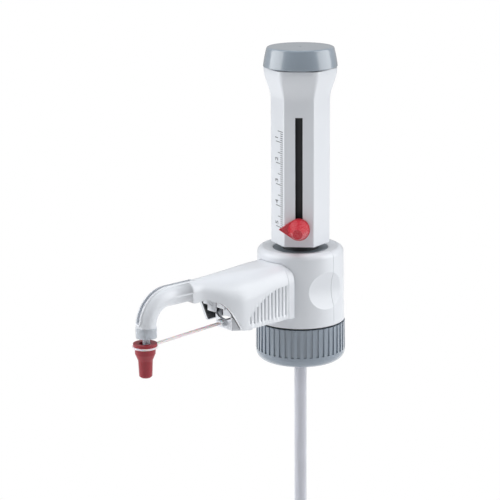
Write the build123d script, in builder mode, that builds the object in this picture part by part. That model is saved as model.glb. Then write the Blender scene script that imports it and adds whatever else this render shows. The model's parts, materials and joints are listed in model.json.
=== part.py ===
from build123d import *
from math import cos, pi, radians, sin
import os

# Bottle top dispenser, 5 ml, on a 45 mm screw neck.
# Frame: the origin is the centre of the screw ring's lower rim, +Z is up the bottle's axis,
# and the discharge arm points along -X. All sizes are in millimetres.

os.makedirs("parts", exist_ok=True)

# ---------------------------------------------------------------- driving dimensions
# Screw ring
RING_RADIUS = 29.0
RING_HEIGHT = 25.0
RING_TOP_RADIUS = 28.7
RING_FOOT_RADIUS = 25.6
RING_BAND_HEIGHT = 5.0
RING_LIP = 4.0
NECK_BORE_RADIUS = 22.75
RIB_COUNT = 45
RIB_GROOVE_WIDTH = 2.0
RIB_GROOVE_DEPTH = 0.8
RIB_FOOT_GAP = 1.6

# Valve block
FLANGE_RADIUS = 22.0
FLANGE_THICKNESS = 3.7
TRUNK_RADIUS = 18.2
BASE_RADIUS = 27.2
BASE_SHOW = 0.8
BASE_SPIGOT = 3.0
TOWER_RADIUS = 13.6
TOWER_NECK_RADIUS = 10.2
TOWER_TOP_Z = 78.0
CHAMBER_RADIUS = 3.2
BOSS_RADIUS = 7.5
BOSS_REACH = 19.0
VENT_Z = 40.0
VENT_BOSS_RADIUS = 4.5
VENT_BOSS_REACH = 22.0
VENT_CAP_RADIUS = 5.2
VENT_CAP_LENGTH = 8.4
VENT_CHANNEL_RADIUS = 1.5
VENT_DRILL_X = 13.2
VENT_FLUTE_COUNT = 12
VENT_FLUTE_RADIUS = 0.5
VENT_CHAMFER = 0.4

# Neck seal
SEAL_THICKNESS = 1.5
SEAL_OUTER_RADIUS = 21.8
SEAL_INNER_RADIUS = 17.0

# Housing
HOUSING_FOOT_RADIUS = 28.4
HOUSING_MID_TAPER = 0.3
HOUSING_SHOULDER_TAPER = 0.7
HOUSING_TOP_Z = 74.0
HOUSING_EDGE_ROUND = 3.6
HOUSING_WALL = 4.4
HOUSING_DISH = 1.0
SEAM_X = 2.4
SEAM_GAP = 0.2
DISH_ANGLE = 96.0
DISH_Z = 50.0
DISH_DEPTH = 3.0
DISH_CURVE_RADIUS = 26.0
GRIP_COUNT = 3
GRIP_FIRST_Z = 41.0
GRIP_PITCH = 11.5
GRIP_DEPTH = 0.6
GRIP_HEIGHT = 9.5
GRIP_AXIS_X = -1.2
POCKET_WALL = 2.2
POCKET_FLAT = (20.0, 80.0)

# Dosing unit
PISTON_DIAMETER = 9.48
BORE_CLEARANCE = 0.08
GLASS_WALL = 1.8
GLASS_BOTTOM_Z = 68.0
GLASS_TOP_Z = 150.0
PISTON_REST_Z = 70.0
PISTON_LENGTH = 8.0
PISTON_GROOVE_DEPTH = 0.8
ROD_RADIUS = 3.0
STROKE = 68.5
GUIDE_WALL = 1.4
STOP_HEIGHT = 2.5
STOP_RADIUS = 13.8
STOP_GAP = 0.4
STOP_HEADROOM = 13.5
NUT_COLLAR_RADIUS = 17.6
NUT_COLLAR_TOP_Z = 72.8
NUT_COLLAR_HEIGHT = 3.4
BUSH_Z = 149.0
BUSH_HEIGHT = 8.0

# Handle sleeve and cap
SLEEVE_APOTHEM = 16.3
SLEEVE_BOTTOM_Z = 76.6
SLEEVE_TOP_Z = 188.5
SLEEVE_EDGE_ROUND = 1.3
SLEEVE_BORE_CLEARANCE = 0.4
WEB_THICKNESS = 4.0
FLARE_HEIGHT = 20.0
FLARE_TOP_APOTHEM = 20.6
FLARE_TOP_CORNER = 4.4
FLARE_SECTIONS = 7
CAP_BOTTOM_Z = 189.2
CAP_TOP_Z = 201.8
CAP_RADIUS = 23.3
CAP_TOP_RADIUS = 21.4
CAP_WALL = 2.2
CAP_SPIGOT_RADIUS = 19.4
CAP_SPIGOT_DEPTH = 5.0
CAP_FLANK_BULGE = 0.45
CAP_RIM_ROUND = 1.5
CAP_FOOT_ROUND = 0.7
DIMPLE_RADIUS = 0.7
ROD_NUT_ACROSS_FLATS = 10.0
ROD_NUT_HEIGHT = 4.6

# Volume pointer, on the sleeve face that is turned SCALE_TURN from the arm
SCALE_TURN = 43.0
SLOT_WIDTH = 4.7
SLOT_BOTTOM_Z = 82.6
SLOT_TOP_Z = 159.3
POINTER_Z = 88.3
POINTER_RADIUS = 7.0
POINTER_TIP = 12.6
POINTER_PLATE = 2.0
POINTER_REACH = 13.6
POINTER_KNOB_RADIUS = 3.1
POINTER_TRAVEL = 61.6
KNOB_LENGTH = 1.4
SCREW_RADIUS = 1.5
SHANK_HEIGHT = 8.0
CLAMP_NUT_WIDTH = 7.0
NUT_GAP = 0.3
KNOB_INSET = 0.3

# Filling side
VALVE_BODY_RADIUS = 9.0
VALVE_HEX_RADIUS = 10.5
VALVE_BODY_TOP_Z = 30.0
VALVE_BODY_BOTTOM_Z = 11.5
SEAT_Z = 18.0
INLET_BALL_RADIUS = 3.0
BALL_ROOM = 0.4
BALL_GAP = 0.06
INLET_BALL_LIFT = 1.5
NIPPLE_RADIUS = 2.95
NIPPLE_BOTTOM_Z = -8.0
SEAT_PLUG_RADIUS = 4.5
FEED_RADIUS = 1.6
FILL_TUBE_RADIUS = 4.0
FILL_TUBE_TOP_Z = 5.0
FILL_TUBE_LENGTH = 120.0
LOWER_TUBE_TOP_Z = -28.0
LOWER_TUBE_LENGTH = 120.0
LOWER_TUBE_WALL = 0.85
LOWER_TUBE_CLEARANCE = 0.1

# Discharge side
DISCHARGE_Z = 54.0
SPOUT_Z = 61.6
NOZZLE_X = -127.7
SPOUT_BEND = 15.5
TUBE_START_X = -20.5
TUBE_RADIUS = 2.3
TUBE_BORE = 1.3
TUBE_TIP_Z = 30.5
TUBE_RISE_START_X = -45.0
TUBE_RISE_END_X = -80.0
TUBE_SOFT_BEND = 60.0
OUTLET_VALVE_RADIUS = 5.0
OUTLET_COLLAR_RADIUS = 6.4
OUTLET_VALVE_START_X = -11.0
OUTLET_VALVE_END_X = -27.0
OUTLET_SEAT_X = -13.5
OUTLET_BALL_RADIUS = 2.2
OUTLET_BALL_TRAVEL = 1.0
SPRING_WIRE = 0.35
SPRING_TURNS = 3

# Arm
PLATE_BACK_X = -22.6
PLATE_THICKNESS = 4.7
PLATE_HALF_WIDTH = 18.2
PLATE_BOTTOM_Z = 33.8
PLATE_TOP_Z = 67.8
PLATE_CORNER = 11.4
FIT_GAP = 0.2
ARM_WALL = 2.0
FLANK_HALF_WIDTH = 18.0
FLANK_FOOT_Z = 34.0
FLANK_FOOT_ROUND = 0.8
FLANK_END_X = -61.0
FOOT_RISE_X = (-66.0, -86.0)
ARCH_END_X = -75.0
ARCH_SHARE = 0.98
SPOUT_RADIUS = 6.2
SPOUT_CORNER = 6.1
SPOUT_START_X = -96.0
SECTION_COUNT = 12
HOLLOW_END_X = -84.0
SPOUT_END_Z = 45.5
CHANNEL_RADIUS = 2.7
TOP_SLOT_START_X = -92.5
TOP_SLOT_WIDTH = 2.4
TOP_SLOT_END_Z = 48.2
TOP_RIM_WIDTH = 1.1
TOP_RIM_HEIGHT = 0.5
GRILLE_COUNT = 11
GRILLE_FIRST_X = -29.9
GRILLE_PITCH = 2.96
GRILLE_WIDTH = 1.1
GRILLE_DEPTH = 0.9
GRILLE_BOTTOM_Z = 37.0
GRILLE_TOP_Z = 56.0
GRILLE_FALL = 0.016

MOUTH_CURVE = (
    (-65.0, 33.0),
    (-67.6, 38.1),
    (-70.1, 42.8),
    (-72.5, 46.9),
    (-74.8, 49.8),
    (-77.0, 51.8),
    (-81.4, 54.0),
    (-87.0, 55.4),
)
LINER_WALL = 1.0
LINER_END_X = -82.0
GUIDE_WEBS = ((-69.0, 3.5, 11.0, 42.2), (-73.4, 2.8, 10.0, 47.7))
WEB_PLATE_THICKNESS = 1.2

# Nozzle and closure
COLLAR_RADIUS = 6.4
COLLAR_BOTTOM_Z = 39.2
COLLAR_WALL = 1.6
CLOSURE_TOP_Z = 35.7
CLOSURE_OFFSET = 1.1
CLOSURE_FLANGE_RADIUS = 7.3
CLOSURE_NECK_TAPER = 0.3
CLOSURE_FLANGE_HEIGHT = 1.6
CLOSURE_NECK_RADIUS = 6.5
CLOSURE_WAIST_RADIUS = 4.45
CLOSURE_FOOT_RADIUS = 4.0
CLOSURE_FOOT_ROUND = 0.9
CLOSURE_LENGTH = 21.3
CLOSURE_SHOULDER_TOP = 6.5
CLOSURE_SHOULDER_FOOT = 10.6
CLOSURE_BORE_RADIUS = 3.6
CLOSURE_BORE_DEPTH = 18.0
STRAP_THICKNESS = 1.1
STRAP_WIDTH = 2.6
STRAP_RING_WALL = 1.2
PIVOT_X = -68.2
PIVOT_Z = 36.0
PIN_RADIUS = 0.9
EYE_RADIUS = 1.7
EAR_THICKNESS = 1.2
BRACKET_X = -66.0
BRACKET_THICKNESS = 2.0
BRACKET_HALF_WIDTH = 7.6
BRACKET_WING_X = -57.0
BRACKET_WING_REACH = 14.4
BRACKET_BOTTOM_Z = 32.0
BRACKET_HORN_Z = 40.4
BRACKET_DIP_Z = 37.6
RAIL_HALF_WIDTH = 4.0
RAIL_HEIGHT = 2.4

# ---------------------------------------------------------------- places worked out from them
SWIVEL_GAP = 0.4
LIFT_GAP = 0.2
HOUSING_MID_RADIUS = HOUSING_FOOT_RADIUS - HOUSING_MID_TAPER
HOUSING_SHOULDER_RADIUS = HOUSING_FOOT_RADIUS - HOUSING_SHOULDER_TAPER
RING_LIP_Z = RING_HEIGHT - RING_LIP
FLANGE_TOP_Z = RING_LIP_Z - LIFT_GAP
FLANGE_BOTTOM_Z = FLANGE_TOP_Z - FLANGE_THICKNESS
LIP_RADIUS = TRUNK_RADIUS + SWIVEL_GAP
BASE_BOTTOM_Z = RING_HEIGHT + SWIVEL_GAP
HOUSING_BOTTOM_Z = BASE_BOTTOM_Z + BASE_SHOW
HOUSING_INNER_RADIUS = HOUSING_MID_RADIUS - HOUSING_WALL
BORE_RADIUS = PISTON_DIAMETER / 2 + BORE_CLEARANCE
GLASS_RADIUS = BORE_RADIUS + GLASS_WALL
GUIDE_RADIUS = TOWER_NECK_RADIUS + GUIDE_WALL
TOWER_STEP_Z = NUT_COLLAR_TOP_Z - NUT_COLLAR_HEIGHT
STOP_Z = POINTER_Z + SHANK_HEIGHT / 2 + STROKE + STOP_GAP
GUIDE_TOP_Z = STOP_Z + STOP_HEIGHT
WEB_Z = GUIDE_TOP_Z + STOP_HEADROOM
SLEEVE_BORE_RADIUS = STOP_RADIUS + SLEEVE_BORE_CLEARANCE
PLATE_FRONT_X = PLATE_BACK_X - PLATE_THICKNESS
CLOSURE_X = NOZZLE_X - CLOSURE_OFFSET
ROD_TOP_Z = WEB_Z + WEB_THICKNESS + ROD_NUT_HEIGHT + 1.0

FACE_ANGLE = 180 + SCALE_TURN
FACE_NORMAL = Vector(cos(radians(FACE_ANGLE)), sin(radians(FACE_ANGLE)), 0)
FACE_ACROSS = Vector(-sin(radians(FACE_ANGLE)), cos(radians(FACE_ANGLE)), 0)


def face_plane(distance):
    """Plane parallel to the scale face, this far from the axis, with X across and Y up."""
    return Plane(origin=FACE_NORMAL * distance, x_dir=FACE_ACROSS, z_dir=FACE_NORMAL)


def nozzle_plane(z):
    """Level plane centred on the nozzle's axis."""
    return Plane(origin=(NOZZLE_X, 0, z), x_dir=(1, 0, 0), z_dir=(0, 0, 1))


def closure_plane(z):
    """Level plane centred on the closure's axis."""
    return Plane(origin=(CLOSURE_X, 0, z), x_dir=(1, 0, 0), z_dir=(0, 0, 1))


def side_plane(x, z=0.0):
    """Upright plane facing -X at this station, with its own X along -Y and Y up."""
    return Plane(origin=(x, 0, z), x_dir=(0, -1, 0), z_dir=(-1, 0, 0))


def plate_corners(gap):
    """Corners of the arm's plate in a side plane, grown by a gap: the two foot corners, then the top."""
    half_width = PLATE_HALF_WIDTH + gap
    foot_z = PLATE_BOTTOM_Z - gap
    top_z = PLATE_TOP_Z + gap
    return [(-half_width, foot_z), (half_width, foot_z), (half_width, top_z), (-half_width, top_z)]


def dish_plane(side):
    """Upright plane through the axis of the finger dish on this side of the housing, +1 or -1."""
    angle = radians(DISH_ANGLE) * side
    outward = Vector(cos(angle), sin(angle), 0)
    along = Vector(-sin(angle), cos(angle), 0)
    reach = HOUSING_MID_RADIUS - DISH_DEPTH + DISH_CURVE_RADIUS
    return Plane(origin=outward * reach + Vector(0, 0, DISH_Z), x_dir=outward, z_dir=along)


def eased(x, x_range, values):
    """Value at x that turns smoothly from values[0] to values[1] over x_range, and is level outside it."""
    share = min(max((x - x_range[0]) / (x_range[1] - x_range[0]), 0.0), 1.0)
    return values[0] + (values[1] - values[0]) * (1 - cos(pi * share)) / 2


def arm_body(end_x, inset=0.0):
    """Solid through the arm's sections from its plate to end_x. A drawn-in one keeps its foot square."""
    foot_span = (SPOUT_Z - SPOUT_RADIUS, FLANK_FOOT_Z)
    with BuildPart() as body:
        for index in range(SECTION_COUNT):
            x = PLATE_FRONT_X + (end_x - PLATE_FRONT_X) * index / (SECTION_COUNT - 1)
            outer_half = eased(x, (FLANK_END_X, SPOUT_START_X), (FLANK_HALF_WIDTH, SPOUT_RADIUS))
            half_width = outer_half - inset
            foot_z = eased(x, FOOT_RISE_X, foot_span[::-1]) - inset
            foot_round = eased(x, FOOT_RISE_X, (FLANK_FOOT_ROUND, SPOUT_CORNER))
            top_z = SPOUT_Z + SPOUT_RADIUS - inset
            arch_share = eased(x, (PLATE_FRONT_X, ARCH_END_X), (PLATE_CORNER / PLATE_HALF_WIDTH, ARCH_SHARE))
            top_round = outer_half * arch_share - inset
            with BuildSketch(side_plane(x)) as section:
                Polygon(
                    (-half_width, foot_z),
                    (half_width, foot_z),
                    (half_width, top_z),
                    (-half_width, top_z),
                    align=None,
                )
                corners = section.vertices().group_by(Axis.Y)
                fillet(corners[-1], top_round)
                if inset == 0:
                    fillet(corners[0], foot_round)
        loft()
    return body.part


def slot_region(margin):
    """Block outside the spout's middle line, as wide and long as the top slot plus a margin."""
    start_x = TOP_SLOT_START_X + margin
    end_z = TOP_SLOT_END_Z + TOP_SLOT_WIDTH / 2
    outside = 2 * SPOUT_BEND
    with BuildPart() as region:
        with BuildSketch(Plane.XZ):
            with BuildLine():
                inner = FilletPolyline(
                    (start_x, SPOUT_Z), (NOZZLE_X, SPOUT_Z), (NOZZLE_X, SPOUT_END_Z), radius=SPOUT_BEND
                )
                Polyline(
                    inner @ 1,
                    (NOZZLE_X - outside, SPOUT_END_Z),
                    (NOZZLE_X - outside, SPOUT_Z + outside),
                    (start_x, SPOUT_Z + outside),
                    inner @ 0,
                )
            make_face()
        extrude(amount=TOP_SLOT_WIDTH / 2 + margin, both=True)
        split(bisect_by=Plane.XY.offset(end_z), keep=Keep.TOP)
        # Round lower end
        with BuildSketch(side_plane(NOZZLE_X, end_z)):
            Circle(TOP_SLOT_WIDTH / 2 + margin)
        extrude(amount=outside)
    return region.part


def web_boxes(gap=0.0):
    """The webs that hang from the arm's roof on both sides of the discharge tube, grown by a gap."""
    with BuildPart() as boxes:
        for web_x, inner, outer, foot_z in GUIDE_WEBS:
            with BuildSketch(Plane.XY.offset(foot_z - gap)):
                with Locations((web_x, (inner + outer) / 2), (web_x, -(inner + outer) / 2)):
                    Rectangle(WEB_PLATE_THICKNESS + 2 * gap, outer - inner + 2 * gap)
            extrude(amount=SPOUT_Z + SPOUT_RADIUS - ARM_WALL / 2 - foot_z)
    return boxes.part


# ---------------------------------------------------------------- screw ring
with BuildPart() as screw_ring:
    with BuildSketch(Plane.XZ):
        with BuildLine():
            foot = Line((NECK_BORE_RADIUS, 0), (RING_FOOT_RADIUS, 0))
            band = ThreePointArc(
                foot @ 1,
                ((RING_FOOT_RADIUS + 2 * RING_RADIUS) / 3, RING_BAND_HEIGHT * 0.38),
                (RING_RADIUS, RING_BAND_HEIGHT),
            )
            Polyline(
                band @ 1,
                (RING_TOP_RADIUS, RING_HEIGHT),
                (LIP_RADIUS, RING_HEIGHT),
                (LIP_RADIUS, RING_LIP_Z),
                (NECK_BORE_RADIUS, RING_LIP_Z),
                foot @ 0,
            )
        make_face()
    revolve(axis=Axis.Z)
    rib_foot_z = RING_BAND_HEIGHT + RIB_FOOT_GAP
    with BuildSketch(Plane.XY.offset(rib_foot_z)):
        with PolarLocations(RING_RADIUS - RIB_GROOVE_DEPTH, RIB_COUNT):
            Rectangle(RIB_GROOVE_WIDTH, RIB_GROOVE_WIDTH, align=(Align.MIN, Align.CENTER))
    extrude(amount=RING_HEIGHT - rib_foot_z, mode=Mode.SUBTRACT)
screw_ring.part.label = "screw_ring"

# ---------------------------------------------------------------- valve block
with BuildPart() as valve_block:
    with BuildSketch(Plane.XZ):
        Polygon(
            (0, FLANGE_BOTTOM_Z),
            (FLANGE_RADIUS, FLANGE_BOTTOM_Z),
            (FLANGE_RADIUS, FLANGE_TOP_Z),
            (TRUNK_RADIUS, FLANGE_TOP_Z),
            (TRUNK_RADIUS, BASE_BOTTOM_Z),
            (BASE_RADIUS, BASE_BOTTOM_Z),
            (BASE_RADIUS, HOUSING_BOTTOM_Z),
            (HOUSING_INNER_RADIUS - FIT_GAP, HOUSING_BOTTOM_Z),
            (HOUSING_INNER_RADIUS - FIT_GAP, HOUSING_BOTTOM_Z + BASE_SPIGOT),
            (TOWER_RADIUS, HOUSING_BOTTOM_Z + BASE_SPIGOT),
            (TOWER_RADIUS, TOWER_STEP_Z),
            (TOWER_NECK_RADIUS, TOWER_STEP_Z),
            (TOWER_NECK_RADIUS, TOWER_TOP_Z),
            (0, TOWER_TOP_Z),
            align=None,
        )
    revolve(axis=Axis.Z)
    # The flat behind the arm's plate, and the bosses of the discharge valve and the vent
    with BuildSketch(Plane.XY.offset(HOUSING_BOTTOM_Z)):
        with Locations((PLATE_BACK_X + POCKET_WALL + FIT_GAP, 0)):
            Rectangle(*POCKET_FLAT, align=(Align.MAX, Align.CENTER))
    extrude(amount=TOWER_TOP_Z, mode=Mode.SUBTRACT)
    with BuildSketch(side_plane(0, DISCHARGE_Z)):
        Circle(BOSS_RADIUS)
    extrude(amount=BOSS_REACH)
    with BuildSketch(side_plane(0, VENT_Z)):
        Circle(VENT_BOSS_RADIUS)
    extrude(amount=-VENT_BOSS_REACH)
    # Pockets and channels
    with BuildSketch(Plane.XY.offset(FLANGE_BOTTOM_Z)):
        Circle(VALVE_BODY_RADIUS)
    extrude(amount=VALVE_BODY_TOP_Z - FLANGE_BOTTOM_Z, mode=Mode.SUBTRACT)
    with BuildSketch(Plane.XY.offset(FLANGE_BOTTOM_Z)):
        Circle(CHAMBER_RADIUS)
    extrude(amount=GLASS_BOTTOM_Z - FLANGE_BOTTOM_Z, mode=Mode.SUBTRACT)
    with BuildSketch(Plane.XY.offset(GLASS_BOTTOM_Z - SEAL_THICKNESS)):
        Circle(GLASS_RADIUS)
    extrude(amount=TOWER_TOP_Z, mode=Mode.SUBTRACT)
    with BuildSketch(side_plane(OUTLET_VALVE_START_X, DISCHARGE_Z)):
        Circle(OUTLET_VALVE_RADIUS)
    extrude(amount=BOSS_REACH, mode=Mode.SUBTRACT)
    with BuildSketch(side_plane(0, DISCHARGE_Z)):
        Circle(FEED_RADIUS)
    extrude(amount=BOSS_REACH, mode=Mode.SUBTRACT)
    with BuildSketch(side_plane(VENT_BOSS_REACH, VENT_Z)):
        Circle(VENT_CHANNEL_RADIUS)
    extrude(amount=VENT_BOSS_REACH - VENT_DRILL_X + VENT_CHANNEL_RADIUS, mode=Mode.SUBTRACT)
    with BuildSketch(Plane.XY.offset(FLANGE_BOTTOM_Z)):
        with Locations((VENT_DRILL_X, 0)):
            Circle(VENT_CHANNEL_RADIUS)
    extrude(amount=VENT_Z - FLANGE_BOTTOM_Z, mode=Mode.SUBTRACT)
valve_block.part.label = "valve_block"

with BuildPart() as neck_seal:
    with BuildSketch(Plane.XY.offset(FLANGE_BOTTOM_Z - SEAL_THICKNESS)):
        Circle(SEAL_OUTER_RADIUS)
        Circle(SEAL_INNER_RADIUS, mode=Mode.SUBTRACT)
    extrude(amount=SEAL_THICKNESS)
neck_seal.part.label = "neck_seal"

with BuildPart() as vent_cap:
    with BuildSketch(side_plane(VENT_BOSS_REACH, VENT_Z)):
        Circle(VENT_CAP_RADIUS)
        with PolarLocations(VENT_CAP_RADIUS, VENT_FLUTE_COUNT):
            Circle(VENT_FLUTE_RADIUS, mode=Mode.SUBTRACT)
    extrude(amount=-VENT_CAP_LENGTH)
    chamfer(vent_cap.faces().sort_by(Axis.X)[-1].edges(), VENT_CHAMFER)
vent_cap.part.label = "vent_cap"

# ---------------------------------------------------------------- housing
with BuildPart() as housing:
    with BuildSketch(Plane.XZ):
        with BuildLine():
            side = Polyline(
                (HOUSING_FOOT_RADIUS, HOUSING_BOTTOM_Z),
                (HOUSING_MID_RADIUS, DISH_Z),
                (HOUSING_SHOULDER_RADIUS, HOUSING_TOP_Z - HOUSING_EDGE_ROUND),
            )
            edge = ThreePointArc(
                side @ 1,
                (
                    HOUSING_SHOULDER_RADIUS - 0.3 * HOUSING_EDGE_ROUND,
                    HOUSING_TOP_Z - 0.3 * HOUSING_EDGE_ROUND,
                ),
                (HOUSING_SHOULDER_RADIUS - HOUSING_EDGE_ROUND, HOUSING_TOP_Z),
            )
            Polyline(
                edge @ 1,
                (NUT_COLLAR_RADIUS + FIT_GAP, HOUSING_TOP_Z - HOUSING_DISH),
                (NUT_COLLAR_RADIUS + FIT_GAP, HOUSING_BOTTOM_Z),
                side @ 0,
            )
        make_face()
    revolve(axis=Axis.Z)
    # Cavity, with a flat wall behind the arm's plate
    with BuildSketch(Plane.XY.offset(HOUSING_BOTTOM_Z)):
        Circle(HOUSING_INNER_RADIUS)
        with Locations((PLATE_BACK_X + POCKET_WALL, 0)):
            Rectangle(*POCKET_FLAT, align=(Align.MAX, Align.CENTER), mode=Mode.SUBTRACT)
    extrude(amount=NUT_COLLAR_TOP_Z - NUT_COLLAR_HEIGHT - HOUSING_BOTTOM_Z, mode=Mode.SUBTRACT)
    # Pocket for the plate, and the hole that the discharge valve passes
    with BuildSketch(side_plane(PLATE_BACK_X)) as pocket:
        Polygon(*plate_corners(FIT_GAP), align=None)
        fillet(pocket.vertices().group_by(Axis.Y)[-1], PLATE_CORNER)
    extrude(amount=HOUSING_FOOT_RADIUS, mode=Mode.SUBTRACT)
    with BuildSketch(side_plane(0, DISCHARGE_Z)):
        Circle(BOSS_RADIUS + FIT_GAP)
    extrude(amount=HOUSING_FOOT_RADIUS, mode=Mode.SUBTRACT)
    # Finger dishes astride the seam, and the hole for the vent's cap
    for side in (1, -1):
        with BuildSketch(dish_plane(side)):
            Circle(DISH_CURVE_RADIUS)
        extrude(amount=HOUSING_FOOT_RADIUS, both=True, mode=Mode.SUBTRACT)
    with BuildSketch(side_plane(0, VENT_Z)):
        Circle(VENT_CAP_RADIUS + FIT_GAP)
    extrude(amount=-2 * HOUSING_FOOT_RADIUS, mode=Mode.SUBTRACT)

with BuildPart() as front_housing:
    add(housing.part)
    split(bisect_by=Plane.YZ.offset(SEAM_X), keep=Keep.BOTTOM)
front_housing.part.label = "front_housing"

with BuildPart() as rear_cover:
    add(housing.part)
    split(bisect_by=Plane.YZ.offset(SEAM_X + SEAM_GAP), keep=Keep.TOP)
    # Shallow grip hollows, turned off centre so that they run out towards the sides
    for index in range(GRIP_COUNT):
        middle_z = GRIP_FIRST_Z + index * GRIP_PITCH
        with BuildSketch(Plane.XZ):
            with BuildLine():
                hollow = ThreePointArc(
                    (HOUSING_MID_RADIUS, middle_z - GRIP_HEIGHT / 2),
                    (HOUSING_MID_RADIUS - GRIP_DEPTH, middle_z),
                    (HOUSING_MID_RADIUS, middle_z + GRIP_HEIGHT / 2),
                )
                outside = HOUSING_FOOT_RADIUS + GRIP_DEPTH
                Polyline(
                    hollow @ 1,
                    (outside, middle_z + GRIP_HEIGHT / 2),
                    (outside, middle_z - GRIP_HEIGHT / 2),
                    hollow @ 0,
                )
            make_face()
        revolve(axis=Axis((GRIP_AXIS_X, 0, 0), (0, 0, 1)), mode=Mode.SUBTRACT)
rear_cover.part.label = "rear_cover"

# ---------------------------------------------------------------- dosing unit
with BuildPart() as cylinder_nut:
    with BuildSketch(Plane.XY.offset(NUT_COLLAR_TOP_Z - NUT_COLLAR_HEIGHT)):
        Circle(NUT_COLLAR_RADIUS)
        Circle(GUIDE_RADIUS, mode=Mode.SUBTRACT)
    extrude(amount=NUT_COLLAR_HEIGHT)
cylinder_nut.part.label = "cylinder_nut"

with BuildPart() as cylinder_seal:
    with BuildSketch(Plane.XY.offset(GLASS_BOTTOM_Z - SEAL_THICKNESS)):
        Circle(GLASS_RADIUS)
        Circle(BORE_RADIUS, mode=Mode.SUBTRACT)
    extrude(amount=SEAL_THICKNESS)
cylinder_seal.part.label = "cylinder_seal"

with BuildPart() as glass_cylinder:
    with BuildSketch(Plane.XY.offset(GLASS_BOTTOM_Z)):
        Circle(GLASS_RADIUS)
        Circle(BORE_RADIUS, mode=Mode.SUBTRACT)
    extrude(amount=GLASS_TOP_Z - GLASS_BOTTOM_Z)
glass_cylinder.part.label = "glass_cylinder"

with BuildPart() as guide_tube:
    with BuildSketch(Plane.XY.offset(TOWER_STEP_Z)):
        Circle(GUIDE_RADIUS)
        Circle(TOWER_NECK_RADIUS, mode=Mode.SUBTRACT)
    extrude(amount=GUIDE_TOP_Z - TOWER_STEP_Z)
guide_tube.part.label = "guide_tube"

with BuildPart() as stop_collar:
    # Ring on the guide tube that stops the pointer's nut at the top of the stroke
    with BuildSketch(Plane.XY.offset(STOP_Z)):
        Circle(STOP_RADIUS)
        Circle(GUIDE_RADIUS, mode=Mode.SUBTRACT)
    extrude(amount=STOP_HEIGHT)
stop_collar.part.label = "stop_collar"

with BuildPart() as rod_bush:
    with BuildSketch(Plane.XY.offset(BUSH_Z)):
        Circle(TOWER_NECK_RADIUS)
        Circle(ROD_RADIUS + BORE_CLEARANCE, mode=Mode.SUBTRACT)
    extrude(amount=BUSH_HEIGHT)
    with BuildSketch(Plane.XY.offset(BUSH_Z)):
        Circle(GLASS_RADIUS)
    extrude(amount=GLASS_TOP_Z - BUSH_Z, mode=Mode.SUBTRACT)
rod_bush.part.label = "rod_bush"

with BuildPart() as piston:
    with BuildSketch(Plane.XY.offset(PISTON_REST_Z)):
        Circle(PISTON_DIAMETER / 2)
    extrude(amount=PISTON_LENGTH)
    with BuildSketch(Plane.XY.offset(PISTON_REST_Z + PISTON_LENGTH / 3)):
        Circle(PISTON_DIAMETER)
        Circle(PISTON_DIAMETER / 2 - PISTON_GROOVE_DEPTH, mode=Mode.SUBTRACT)
    extrude(amount=SEAL_THICKNESS, mode=Mode.SUBTRACT)
piston.part.label = "piston"

with BuildPart() as piston_seal:
    with BuildSketch(Plane.XY.offset(PISTON_REST_Z + PISTON_LENGTH / 3)):
        Circle(PISTON_DIAMETER / 2 + BORE_CLEARANCE / 2)
        Circle(PISTON_DIAMETER / 2 - PISTON_GROOVE_DEPTH, mode=Mode.SUBTRACT)
    extrude(amount=SEAL_THICKNESS)
piston_seal.part.label = "piston_seal"

with BuildPart() as piston_rod:
    with BuildSketch(Plane.XY.offset(PISTON_REST_Z + PISTON_LENGTH)):
        Circle(ROD_RADIUS)
    extrude(amount=ROD_TOP_Z - PISTON_REST_Z - PISTON_LENGTH)
piston_rod.part.label = "piston_rod"

with BuildPart() as rod_nut:
    with BuildSketch(Plane.XY.offset(WEB_Z + WEB_THICKNESS)):
        RegularPolygon(ROD_NUT_ACROSS_FLATS / 2, 6, major_radius=False)
        Circle(ROD_RADIUS, mode=Mode.SUBTRACT)
    extrude(amount=ROD_NUT_HEIGHT)
rod_nut.part.label = "rod_nut"

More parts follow.
